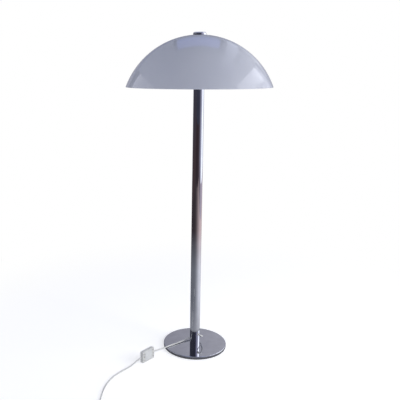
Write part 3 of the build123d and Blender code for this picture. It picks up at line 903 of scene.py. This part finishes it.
@dataclass
class FootSwitch(Assembly):
    """In-line switch that stands on its long edge.

    Attributes:
        middle: Its middle.
        half: Half its length.
        angle: Angle of its length, in degrees.
    """

    nodes: Nodes = node_field({
        Slot.SWITCH: ["switch_base", "switch_cover"],
        Slot.PLATE: ["switch_plate"],
        Slot.BRASS: ["switch_spring", "switch_terminals"],
        Slot.ZINC: ["switch_screws"],
    })
    middle: Point = (-0.1829, -0.1409, 0.023)
    half: float = 0.0325
    angle: float = 51.74

    def end(self, side: int) -> Point:
        """Middle of one end: 1 for the one towards the pole, -1 for the other."""
        return tuple(Vector(self.middle) + heading(self.angle) * self.half * side)


@dataclass(frozen=True)
class CoilTie:
    """Rubber strap round the turns of the put-away coil.

    Attributes:
        hub: Middle of the coil.
        angle: Where round the coil it sits, in degrees.
        near: Its inner reach from the coil's middle.
        far: Its outer reach.
        top: Height of its inside over the floor.
        sole: Thickness under the turns.
        thickness: Thickness elsewhere.
        width: Its width along the cord.
        corner: Power that rounds its corners, less for squarer ones.
        around: Corners of its outline.
    """

    hub: tuple[float, float]
    angle: float = 60.0
    near: float = 0.0183
    far: float = 0.0384
    top: float = 0.0115
    sole: float = 0.00014
    thickness: float = 0.0007
    width: float = 0.008
    corner: float = 0.25
    around: int = 72

    def spot(self, turn: int, grown: float, along: float) -> Point:
        """A corner of the strap.

        Args:
            turn: Number of the corner.
            grown: How far outside the turns it lies.
            along: Place along the cord.

        Returns:
            The point.
        """
        angle = tau * turn / self.around
        across = copysign(abs(cos(angle)) ** self.corner, cos(angle))
        rise = copysign(abs(sin(angle)) ** self.corner, sin(angle))
        reach = (self.near + self.far) / 2 + ((self.far - self.near) / 2 + grown) * across
        height = (self.top + self.sole) / 2 + ((self.top - self.sole) / 2 + grown) * rise
        way = radians(self.angle)
        x = self.hub[0] + reach * cos(way) - along * sin(way)
        y = self.hub[1] + reach * sin(way) + along * cos(way)
        return (x, y, max(0.0, height))

    def build(self, wardrobe: Wardrobe) -> Piece:
        """Makes the strap.

        Args:
            wardrobe: The finishes.

        Returns:
            The strap.
        """
        half = self.width / 2
        edges = ((0.0, -half), (self.thickness, -half), (self.thickness, half), (0.0, half))
        mesh = bmesh.new()
        rings = [[mesh.verts.new(self.spot(turn, *edge)) for turn in range(self.around)] for edge in edges]
        add_bands(mesh, [*rings, rings[0]])
        return wardrobe.add("coil_tie", finished_mesh(mesh), Slot.RUBBER)


@dataclass(frozen=True)
class StrainRelief:
    """Ribbed sleeve that tapers from the plug along the cord.

    Attributes:
        length: Its length.
        mouth: Radius at the plug.
        tip: Radius at its free end.
        ribs: Grooves along it.
        groove: Their depth.
        ribbed: Share of its length that has them.
        step: Length of its facets.
        around: Facets round it.
    """

    length: float = 0.020
    mouth: float = 0.0043
    tip: float = 0.0035
    ribs: int = 6
    groove: float = 0.0005
    ribbed: float = 0.96
    step: float = 0.0004
    around: int = 32

    def radius(self, station: float, _: float) -> float:
        """Radius at a place along it.

        Args:
            station: Distance from the plug.
            _: The angle, which doesn't matter.

        Returns:
            The radius.
        """
        share = station / self.length
        taper = self.mouth + (self.tip - self.mouth) * share
        return taper - self.groove * (1 - cos(tau * self.ribs * share)) / 2 * (share < self.ribbed)

    def build(self, wardrobe: Wardrobe, entry: Point, ray: Vector) -> Piece:
        """Makes the sleeve.

        Args:
            wardrobe: The finishes.
            entry: Where the cord goes into the plug.
            ray: Direction from the plug back along the cord.

        Returns:
            The sleeve.
        """
        placed = Matrix.Translation(entry) @ ray.to_track_quat("Z", "Y").to_matrix().to_4x4()
        stations = evenly(0.0, self.length, self.step)
        mesh = turned_mesh(self.radius, stations, placed, self.around)
        return wardrobe.add("strain_relief", mesh, Slot.PLUG)


@dataclass
class MainsCord(Assembly):
    """The two lengths of cord, either side of the switch, and the plug.

    Attributes:
        nodes: Names of the plug's nodes, by slot.
        switch: The switch between the two lengths.
        bush: Name of the bush that the cord leaves the pole by. Not used.
        diameter: The cord's diameter.
        exit_point: Where it leaves the bush.
        exit_end: Where its first straight bit ends.
        lead_route: Points from the bush round the pole and over the base.
        tail_route: Points from the switch to the coil.
        coil_middle: Middle of the put-away coil.
        coil_wide: Radius of its outermost turn.
        coil_narrow: Radius of its innermost turn.
        coil_low: Height of its lower layer.
        coil_high: Height of its upper layer.
        coil_turns: Turns in each layer.
        coil_points: Points to a turn.
        climb_start: Share of the lower layer after which the cord climbs to the upper one.
        climb_run: Share over which it climbs.
        end_route: Points from the coil to the plug.
        plug_entry: Where the cord goes into the plug.
        plug_angle: Angle of the plug, in degrees.
        plug_run: Straight bit before the plug.
        lead_length: Length from the bush to the switch. Not used.
        tail_length: Length from the switch to the plug. Not used.
    """

    nodes: Nodes = node_field({Slot.PLUG: ["plug_body"], Slot.PINS: ["plug_pins"]})
    switch: FootSwitch = field(default_factory=FootSwitch)
    bush: str = "cord_bush"
    diameter: float = 0.0055
    exit_point: Point = (0.01442, -0.016015, 0.053)
    exit_end: Point = (0.019505, -0.021663, 0.053)
    lead_route: tuple[Point, ...] = (
        (0.0275, -0.0210, 0.0495), (0.0315, -0.0095, 0.0430), (0.0300, 0.0055, 0.0355),
        (0.0230, 0.0195, 0.0285), (0.0090, 0.0285, 0.0240), (-0.0090, 0.0290, 0.0203),
        (-0.0250, 0.0195, 0.0178), (-0.0460, -0.0015, 0.0159), (-0.0770, -0.0280, 0.0150),
        (-0.1130, -0.0600, 0.0154), (-0.1390, -0.0884, 0.0187),
    )
    tail_route: tuple[Point, ...] = (
        (-0.2160, -0.1805, 0.0200), (-0.2315, -0.1955, 0.0110), (-0.2490, -0.2115, 0.0036),
        (-0.2770, -0.2430, 0.0030), (-0.3010, -0.2850, 0.0030), (-0.3160, -0.3370, 0.0030),
        (-0.3200, -0.3940, 0.0030), (-0.3180, -0.4500, 0.0030), (-0.3170, -0.4900, 0.0030),
    )
    coil_middle: tuple[float, float] = (-0.2787, -0.505)
    coil_wide: float = 0.0383
    coil_narrow: float = 0.0192
    coil_low: float = 0.0029
    coil_high: float = 0.0086
    coil_turns: float = 3.125
    coil_points: int = 16
    climb_start: float = 0.96
    climb_run: float = 0.12
    end_route: tuple[Point, ...] = (
        (-0.2700, -0.5433, 0.0084), (-0.2540, -0.5443, 0.0058), (-0.2370, -0.5423, 0.0046),
    )
    plug_entry: Point = (-0.2060, -0.5346, 0.0070)
    plug_angle: float = 14.0
    plug_run: float = 0.014
    lead_length: float = 0.309
    tail_length: float = 1.56

    def coil(self) -> list[Point]:
        """Points of the coil: inwards on the floor, then outwards on top of that layer.

        Returns:
            The points.
        """
        count = round(self.coil_turns * self.coil_points)
        x, y = self.coil_middle
        points = []
        for index in range(1, 2 * count):
            share = index / count
            radius = self.coil_wide + (self.coil_narrow - self.coil_wide) * min(share, 2 - share)
            climb = min(1.0, max(0.0, (share - self.climb_start) / self.climb_run))
            height = self.coil_low + (self.coil_high - self.coil_low) * climb
            angle = pi + tau * index / self.coil_points
            points.append((x + radius * cos(angle), y + radius * sin(angle), height))
        return points

    def build(self, wardrobe: Wardrobe) -> list[Piece]:
        """Lays both lengths of cord and dresses the plug.

        Args:
            wardrobe: The finishes.

        Returns:
            The cords and the plug's pieces.
        """
        lead_points = [self.exit_point, self.exit_end, *self.lead_route, self.switch.end(1)]
        curve = cord_curve(lead_points, self.diameter)
        lead = wardrobe.add("mains_cord_lead", curve, Slot.CORD, ["cord_lead"])
        ray = heading(self.plug_angle)
        plug = [
            *self.dress(wardrobe),
            CoilTie(self.coil_middle).build(wardrobe),
            StrainRelief().build(wardrobe, self.plug_entry, -ray),
        ]
        before_plug = tuple(Vector(self.plug_entry) - ray * self.plug_run)
        put_away = [*self.coil(), *self.end_route, before_plug, self.plug_entry]
        tail_points = [self.switch.end(-1), *self.tail_route, *put_away]
        curve = cord_curve(tail_points, self.diameter)
        tail = wardrobe.add("mains_cord_tail", curve, Slot.CORD, ["cord_tail", "cord_coil", "cord_end"])
        self.switch.end(-1)
        return [lead, tail, *plug]


# ---- Studio ----


def add_mirrored_stage(name: str, data: Mesh, material: Material) -> None:
    """Puts a stage piece into the scene that only polished surfaces see.

    Args:
        name: Its name.
        data: Its mesh.
        material: Its material.
    """
    data.materials.append(material)
    panel = put_in_scene(name, data)
    for rays in ("camera", "diffuse", "transmission", "volume_scatter", "shadow"):
        setattr(panel, f"visible_{rays}", False)


@dataclass(frozen=True)
class Card:
    """A flat panel outside the picture that only polished surfaces mirror.

    Attributes:
        name: Its name.
        middle: Its middle.
        reach: Half its size along each axis, 0 for the one that it faces along.
        colour: What it shines with.
        turned: What it shines with at the far end of the gradient, or None if it is even.
        axis: Axis that the gradient runs along.
        span: Where the gradient starts and ends.
    """

    name: str
    middle: Point
    reach: Point
    colour: Colour
    turned: Colour | None = None
    axis: str = "Z"
    span: Span = FULL

    def build(self) -> None:
        """Makes the panel."""
        middle = Vector(self.middle)
        across, up = (axis * half for axis, half in zip(Matrix.Identity(3), self.reach) if half)
        corners = [middle - across - up, middle + across - up, middle + across + up, middle - across + up]
        data = bpy.data.meshes.new("mesh")
        data.from_pydata([tuple(corner) for corner in corners], [], [(0, 1, 2, 3)])
        bench = Bench(bpy.data.materials.new(self.name))
        colour = self.colour
        if self.turned is not None:
            share = bench.remap(bench.coordinate(bench.place, self.axis), self.span, FULL)
            colour = bench.blend(share, self.colour, self.turned)
        add_mirrored_stage(self.name, data, bench.glow(colour))


@dataclass(frozen=True)
class FloorMirror:
    """What polished surfaces see of the room's floor: dim at the left, bright towards the window.

    Attributes:
        name: Its name.
        inner: Radius at which it starts, round the base.
        outer: Radius at which it ends.
        level: Its height over the floor.
        around: Corners round it.
        bright_way: Direction in which it is brightest.
        falloff: Power with which it dims away from that direction.
        close: Colours close by the base, away from the window and towards it.
        near: The same near the lamp.
        far: The same far from the lamp.
        contact: Radii between which the painted contact shadow round the base ends.
        contact_share: Brightness that is left in that painted shadow.
        settle: Radii between which the close colours turn into the near ones.
        recede: Radii between which the near colours turn into the far ones.
    """

    name: str = "floor_mirrored"
    inner: float = 0.1285
    outer: float = 5.0
    level: float = 0.0005
    around: int = 96
    bright_way: Point = (0.985, 0.174, 0.0)
    falloff: float = 2.3
    close: tuple[Colour, Colour] = ((0.34, 0.35, 0.39), (0.67, 0.68, 0.73))
    near: tuple[Colour, Colour] = ((0.20, 0.21, 0.24), (1.0, 1.01, 1.10))
    far: tuple[Colour, Colour] = ((0.055, 0.042, 0.048), (0.92, 0.72, 0.72))
    contact: Span = (0.128, 0.17)
    contact_share: float = 0.22
    settle: Span = (0.15, 0.5)
    recede: Span = (0.9, 1.7)

    def build(self) -> None:
        """Makes the ring."""
        mesh = bmesh.new()
        ways = [(cos(tau * turn / self.around), sin(tau * turn / self.around)) for turn in range(self.around)]
        rings = [
            [mesh.verts.new((radius * x, radius * y, self.level)) for x, y in ways]
            for radius in (self.inner, self.outer)
        ]
        add_bands(mesh, rings)
        bench = Bench(bpy.data.materials.new(self.name))
        way = bench.add("VectorMath", {0: bench.place}, operation="NORMALIZE").outputs["Vector"]
        towards = bench.add("VectorMath", {0: way, 1: self.bright_way}, operation="DOT_PRODUCT")
        turned = bench.remap(towards.outputs["Value"], (-1.0, 1.0), FULL)
        share = bench.add("Math", {0: turned, 1: self.falloff}, operation="POWER").outputs[0]
        distance = bench.distance()
        close, near, far = (bench.blend(share, *pair) for pair in (self.close, self.near, self.far))
        settled = bench.blend(bench.remap(distance, self.settle, FULL), close, near)
        colour = bench.blend(bench.remap(distance, self.recede, FULL), settled, far)
        # Painted contact shadow: the mirrored floor dims to contact_share at the base's edge.
        contact_shadow = bench.remap(distance, self.contact, (self.contact_share, 1.0))
        add_mirrored_stage(self.name, finished_mesh(mesh), bench.glow(colour, contact_shadow))


@dataclass(frozen=True)
class Softbox:
    """A square area light.

    Attributes:
        name: Its name.
        place: Where it stands.
        aim: What it points at.
        side: Length of its sides.
        power: Power in watts.
        spread: Angle of its beam, in degrees.
    """

    name: str
    place: Point
    aim: Point
    side: float
    power: float
    spread: float = 180.0

    def build(self) -> None:
        """Makes the light."""
        data = bpy.data.lights.new(self.name, "AREA")
        data.size = self.side
        data.energy = self.power
        data.spread = radians(self.spread)
        light = put_in_scene(self.name, data)
        light.location = self.place
        light.rotation_euler = (Vector(self.aim) - Vector(self.place)).to_track_quat("-Z", "Y").to_euler()
        light.visible_glossy = False
        light.visible_camera = False


@dataclass
class Studio:
    """Pale floor and backdrop, soft light, mirrored panels and the camera.

    Attributes:
        eye: Where the camera stands.
        pitch: How far it looks down, in degrees.
        yaw: How far it looks to the left, in degrees.
        lens: Focal length in millimetres.
        sensor: Width of its sensor in millimetres.
        shift: Sideways shift of the picture.
        floor_radius: Radius of the floor.
        floor_around: Corners round the floor.
        floor_level: Height of the floor, just under the base's felt.
        floor_colour: The floor's colour.
        floor_lift: Light that the floor gives off, so that it is white where no shadow falls.
        fade: Distances between which it stops taking shadows.
        ambient_low: Light of the surroundings from the horizon.
        ambient_high: Light of the surroundings from straight above.
        white: What is seen where nothing stands.
        lights: The lights.
        cards: The room that polished surfaces mirror.
    """

    eye: Point = (0.0, -2.1114, 1.10111)
    pitch: float = 13.091
    yaw: float = 4.181
    lens: float = 50.16
    sensor: float = 36.0
    shift: float = 0.1068
    floor_radius: float = 12.0
    floor_around: int = 128
    floor_level: float = -0.0003
    floor_colour: Colour = (0.85, 0.85, 0.85)
    floor_lift: float = 0.56
    fade: Span = (0.5, 1.5)
    ambient_low: Colour = (0.52, 0.53, 0.575)
    ambient_high: Colour = (0.25, 0.27, 0.33)
    white: Colour = (1.0, 1.0, 1.0)
    lights: tuple[Softbox, ...] = (
        Softbox("window_light", (2.3, -0.5, 1.4), (0.0, 0.0, 0.9), 1.8, 28.0),
        Softbox("fill_light", (-2.4, -1.6, 0.9), (0.0, 0.0, 0.9), 1.6, 6.5),
        Softbox("foot_light", (1.6, -1.0, 0.9), (-0.25, -0.12, 0.0), 0.5, 0.55, 60.0),
    )
    cards: tuple[Card, ...] = (
        Card("wall_behind", (0, 3.2, 1.0), (3.2, 0, 1.0), (0.38, 0.38, 0.44),
             (0.52, 0.52, 0.58), "X", (-0.35, 0.35)),
        Card("cornice_behind", (0, 3.2, 2.3), (3.2, 0, 0.3), (0.21, 0.23, 0.34),
             (0.80, 0.82, 0.95), "X", (0.7, 1.5)),
        Card("ceiling", (0, 0, 2.6), (3.2, 3.2, 0), (0.34, 0.36, 0.44), (0.55, 0.57, 0.66), "X", (0.9, 1.6)),
        Card("skylight_frame", (-0.03, 1.5, 2.595), (0.62, 1.06, 0), (0.08, 0.09, 0.13)),
        Card("skylight", (-0.03, 1.5, 2.59), (0.53, 0.95, 0), (0.46, 0.56, 1.28),
             (0.28, 0.33, 0.58), "Y", (0.6, 2.4)),
        Card("ceiling_strip", (0.88, 1.3, 2.59), (0.18, 1.7, 0), (0.85, 0.90, 1.10)),
        Card("wall_left", (-2.6, 0, 1.3), (0, 3.2, 1.3), (0.075, 0.050, 0.055),
             (0.060, 0.062, 0.085), "Z", (0.3, 1.0)),
        Card("wall_left_patch", (-2.59, 0.3, 2.2), (0, 1.6, 0.40), (1.0, 1.0, 1.14)),
        Card("wall_front", (0, -3.2, 1.3), (3.2, 0, 1.3), (0.052, 0.054, 0.080),
             (0.10, 0.10, 0.15), "X", (0.3, 2.0)),
        Card("skirting_front", (0, -3.19, 0.3), (3.2, 0, 0.3), (0.050, 0.034, 0.040),
             (0.12, 0.09, 0.11), "X", (0.3, 2.0)),
        Card("wall_right", (2.02, -1.3, 0.69), (0, 1.9, 0.69), (0.06, 0.06, 0.09),
             (0.56, 0.56, 0.70), "Y", (-2.9, -0.9)),
        Card("wall_right_head", (2.02, -1.9, 1.99), (0, 1.3, 0.61), (0.38, 0.37, 0.54),
             (0.62, 0.62, 0.80), "Y", (-3.0, -1.0)),
        Card("skirting_right", (1.99, 0, 0.14), (0, 3.2, 0.14), (0.10, 0.08, 0.10),
             (0.64, 0.56, 0.66), "Y", (-2.4, 0.2)),
        Card("window_right", (2.0, 0.85, 0.84), (0, 1.15, 0.56), (1.6, 1.65, 1.75),
             (3.0, 3.05, 3.2), "Z", (0.95, 1.15)),
        Card("window_head", (2.0, 0.30, 1.98), (0, 1.25, 0.59), (0.9, 0.92, 1.05),
             (2.5, 2.55, 2.8), "Z", (1.85, 2.05)),
        Card("curtain_right", (2.01, 2.0, 1.3), (0, 1.2, 1.25), (1.0, 1.02, 1.20),
             (0.28, 0.29, 0.36), "Y", (1.9, 2.5)),
        Card("corner_behind", (1.4, 3.19, 0.9), (0.6, 0, 0.9), (0.28, 0.29, 0.36)),
    )

    def build(self) -> None:
        """Builds the studio and points the camera."""
        bpy.context.scene.view_settings.view_transform = "Standard"
        self.build_world()
        self.build_floor()
        for fitting in (*self.lights, *self.cards, FloorMirror()):
            fitting.build()
        self.build_camera()

    def build_world(self) -> None:
        """White where it is seen, and a plain level of light on the object."""
        world = bpy.data.worlds.new("surroundings")
        bpy.context.scene.world = world
        bench = Bench(world)
        climb = bench.remap(bench.coordinate(bench.coordinates["Generated"], "Z"), FULL, FULL)
        light = bench.add("Background", {"Color": bench.blend(climb, self.ambient_low, self.ambient_high)})
        white = bench.add("Background", {"Color": opaque(self.white)})
        bench.add("OutputWorld", {"Surface": bench.mix(bench.seen_rays(), light, white)})

    def build_floor(self) -> None:
        """A white floor that takes a soft shadow round the lamp."""
        mesh = bmesh.new()
        bmesh.ops.create_circle(mesh, cap_ends=True, segments=self.floor_around, radius=self.floor_radius)
        bench = Bench(bpy.data.materials.new("pale_floor"))
        seen = bench.seen_rays()
        matt = bench.add("BsdfDiffuse", {"Color": opaque(self.floor_colour)})
        lift = bench.add("Emission", {"Strength": bench.remap(seen, FULL, (0.0, self.floor_lift))})
        lit = bench.add("AddShader", {0: matt.outputs[0], 1: lift.outputs[0]})
        white = bench.add("Emission", {"Color": opaque(self.white)})
        fade = bench.remap(bench.distance(), self.fade, FULL, "SMOOTHSTEP")
        share = bench.add("Math", {0: fade, 1: seen}, operation="MULTIPLY").outputs[0]
        bench.add("OutputMaterial", {"Surface": bench.mix(share, lit, white)})
        data = finished_mesh(mesh)
        data.materials.append(bench.owner)
        floor = put_in_scene("floor", data)
        floor.location.z = self.floor_level

    def build_camera(self) -> None:
        """The camera at the photograph's viewing angle."""
        data = bpy.data.cameras.new("camera")
        data.sensor_width = self.sensor
        data.lens = self.lens
        data.shift_x = self.shift
        camera = put_in_scene("camera", data)
        camera.location = self.eye
        camera.rotation_euler = (radians(90 - self.pitch), 0.0, radians(self.yaw))
        bpy.context.scene.camera = camera


def main() -> None:
    """Builds the lamp's looks, piece by piece, and the studio round it."""
    logging.basicConfig(level=logging.INFO, format="%(name)s: %(message)s")
    Studio().build()
    wardrobe = Wardrobe(FINISHES)
    switch = FootSwitch()
    for assembly in (Base(), Pole(), Cluster(), Shade(), Knob(), switch, MainsCord(switch=switch)):
        for piece in assembly.build(wardrobe):
            log.info("%s: %s", type(assembly).__name__, piece.name)


if __name__ == "__main__":
    main()
